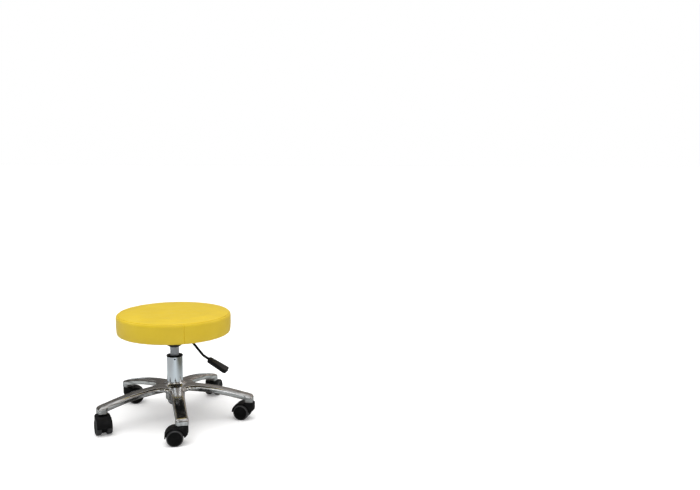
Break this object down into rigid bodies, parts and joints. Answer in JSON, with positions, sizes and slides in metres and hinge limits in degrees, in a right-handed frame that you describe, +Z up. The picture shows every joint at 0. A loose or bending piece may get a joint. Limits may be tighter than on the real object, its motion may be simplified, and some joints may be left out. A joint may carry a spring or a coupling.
{
  "type": "pedicure stool",
  "caption": "Low round padded stool on a gas column, with a release lever and a star base on twin-wheel casters.",
  "frame": {"origin": "on the floor, under the axis of the column", "axes": "+Z up along the column; the first arm of the star base points along -Y"},
  "size_m": [0.4985, 0.5119, 0.35],
  "materials": {
    "polished_aluminium": "polished",
    "chrome": "polished",
    "plain_steel": "satin",
    "bright_steel": "polished",
    "zinc_steel": "satin",
    "spring_steel": "satin",
    "staple_wire": "satin",
    "piston_alloy": "satin",
    "cage_brass": "satin",
    "black_rubber": "matte",
    "black_nylon": "satin",
    "hood_nylon": "satin",
    "wheel_nylon": "satin",
    "handle_plastic": "satin",
    "grey_paint": "satin",
    "black_paint": "satin",
    "black_rod_paint": "satin",
    "plywood": "matte",
    "seat_foam": "matte",
    "yellow_vinyl": "satin",
    "dust_cloth": "matte"
  },
  "bodies": {
    "base": {"star_base": "polished_aluminium", "outer_tube": "chrome", "tube_floor": "plain_steel", "guide_bush": "black_nylon", "lower_race": "bright_steel", "caster_stems": "zinc_steel", "grip_rings": "spring_steel"},
    "rod": {"piston_rod": "bright_steel", "piston": "piston_alloy", "piston_ring": "black_rubber", "piston_nut": "zinc_steel", "upper_race": "bright_steel", "bearing_balls": "bright_steel", "ball_cage": "cage_brass", "bump_stop": "black_rubber", "rod_washer": "zinc_steel", "rod_clip": "spring_steel"},
    "seat": {"pressure_tube": "grey_paint", "rod_guide": "piston_alloy", "rod_seal": "black_rubber", "valve_body": "piston_alloy", "seat_socket": "black_paint", "seat_plate": "black_paint", "plate_bolts": "zinc_steel", "plate_washers": "zinc_steel", "lever_bracket": "black_paint", "lever_pin": "zinc_steel", "lever_pin_clip": "spring_steel", "seat_board": "plywood", "tee_nuts": "zinc_steel", "seat_foam": "seat_foam", "seat_cover": "yellow_vinyl", "dust_cover": "dust_cloth", "cover_staples": "staple_wire"},
    "lever": {"release_lever": "black_rod_paint", "lever_handle": "handle_plastic"},
    "release_pin": {"release_pin": "bright_steel"},
    "caster_1": {"caster_1_hood": "hood_nylon", "caster_1_axle": "bright_steel"},
    "caster_1_left_wheel": {"caster_1_wheel_left": "wheel_nylon"},
    "caster_1_right_wheel": {"caster_1_wheel_right": "wheel_nylon"},
    "caster_2": {"caster_2_hood": "hood_nylon", "caster_2_axle": "bright_steel"},
    "caster_2_left_wheel": {"caster_2_wheel_left": "wheel_nylon"},
    "caster_2_right_wheel": {"caster_2_wheel_right": "wheel_nylon"},
    "caster_3": {"caster_3_hood": "hood_nylon", "caster_3_axle": "bright_steel"},
    "caster_3_left_wheel": {"caster_3_wheel_left": "wheel_nylon"},
    "caster_3_right_wheel": {"caster_3_wheel_right": "wheel_nylon"},
    "caster_4": {"caster_4_hood": "hood_nylon", "caster_4_axle": "bright_steel"},
    "caster_4_left_wheel": {"caster_4_wheel_left": "wheel_nylon"},
    "caster_4_right_wheel": {"caster_4_wheel_right": "wheel_nylon"},
    "caster_5": {"caster_5_hood": "hood_nylon", "caster_5_axle": "bright_steel"},
    "caster_5_left_wheel": {"caster_5_wheel_left": "wheel_nylon"},
    "caster_5_right_wheel": {"caster_5_wheel_right": "wheel_nylon"}
  },
  "joints": [
    {"name": "seat_swivel", "type": "hinge", "parent": "base", "child": "rod", "pos_m": [0, 0, 0.054], "axis": [0, 0, 1], "continuous": true},
    {"name": "seat_lift", "type": "slide", "parent": "rod", "child": "seat", "axis": [0, 0, 1], "range_m": [0, 0.08]},
    {"name": "lever_tip", "type": "hinge", "parent": "seat", "child": "lever", "pos_m": [0.02487, -0.01678, 0.2774], "axis": [-0.5592, -0.829, 0], "range_deg": [0, 7], "stiffness_Nm_per_rad": 1.2},
    {"name": "release_press", "type": "slide", "parent": "seat", "child": "release_pin", "axis": [0, 0, -1], "range_m": [0, 0.0038], "stiffness_N_per_m": 400},
    {"name": "caster_1_swivel", "type": "hinge", "parent": "base", "child": "caster_1", "pos_m": [0, -0.2385, 0.0574], "axis": [0, 0, 1], "continuous": true},
    {"name": "caster_1_roll_left", "type": "hinge", "parent": "caster_1", "child": "caster_1_left_wheel", "pos_m": [-0.02092, -0.23667, 0.025], "axis": [-0.0872, -0.9962, 0], "continuous": true},
    {"name": "caster_1_roll_right", "type": "hinge", "parent": "caster_1", "child": "caster_1_right_wheel", "pos_m": [-0.02092, -0.23667, 0.025], "axis": [-0.0872, -0.9962, 0], "continuous": true},
    {"name": "caster_2_swivel", "type": "hinge", "parent": "base", "child": "caster_2", "pos_m": [0.22683, -0.0737, 0.0574], "axis": [0, 0, 1], "continuous": true},
    {"name": "caster_2_roll_left", "type": "hinge", "parent": "caster_2", "child": "caster_2_left_wheel", "pos_m": [0.20846, -0.06352, 0.025], "axis": [-0.4848, -0.8746, 0], "continuous": true},
    {"name": "caster_2_roll_right", "type": "hinge", "parent": "caster_2", "child": "caster_2_right_wheel", "pos_m": [0.20846, -0.06352, 0.025], "axis": [-0.4848, -0.8746, 0], "continuous": true},
    {"name": "caster_3_swivel", "type": "hinge", "parent": "base", "child": "caster_3", "pos_m": [0.14019, 0.19295, 0.0574], "axis": [0, 0, 1], "continuous": true},
    {"name": "caster_3_roll_left", "type": "hinge", "parent": "caster_3", "child": "caster_3_left_wheel", "pos_m": [0.15005, 0.21149, 0.025], "axis": [-0.8829, 0.4695, 0], "continuous": true},
    {"name": "caster_3_roll_right", "type": "hinge", "parent": "caster_3", "child": "caster_3_right_wheel", "pos_m": [0.15005, 0.21149, 0.025], "axis": [-0.8829, 0.4695, 0], "continuous": true},
    {"name": "caster_4_swivel", "type": "hinge", "parent": "base", "child": "caster_4", "pos_m": [-0.14019, 0.19295, 0.0574], "axis": [0, 0, 1], "continuous": true},
    {"name": "caster_4_roll_left", "type": "hinge", "parent": "caster_4", "child": "caster_4_left_wheel", "pos_m": [-0.11922, 0.19405, 0.025], "axis": [-0.0523, 0.9986, 0], "continuous": true},
    {"name": "caster_4_roll_right", "type": "hinge", "parent": "caster_4", "child": "caster_4_right_wheel", "pos_m": [-0.11922, 0.19405, 0.025], "axis": [-0.0523, 0.9986, 0], "continuous": true},
    {"name": "caster_5_swivel", "type": "hinge", "parent": "base", "child": "caster_5", "pos_m": [-0.22683, -0.0737, 0.0574], "axis": [0, 0, 1], "continuous": true},
    {"name": "caster_5_roll_left", "type": "hinge", "parent": "caster_5", "child": "caster_5_left_wheel", "pos_m": [-0.22318, -0.09438, 0.025], "axis": [0.9848, 0.1736, 0], "continuous": true},
    {"name": "caster_5_roll_right", "type": "hinge", "parent": "caster_5", "child": "caster_5_right_wheel", "pos_m": [-0.22318, -0.09438, 0.025], "axis": [0.9848, 0.1736, 0], "continuous": true}
  ],
  "couplings": [
    {"joint": "release_press", "follows": "lever_tip", "m_per_rad": 0.03}
  ]
}
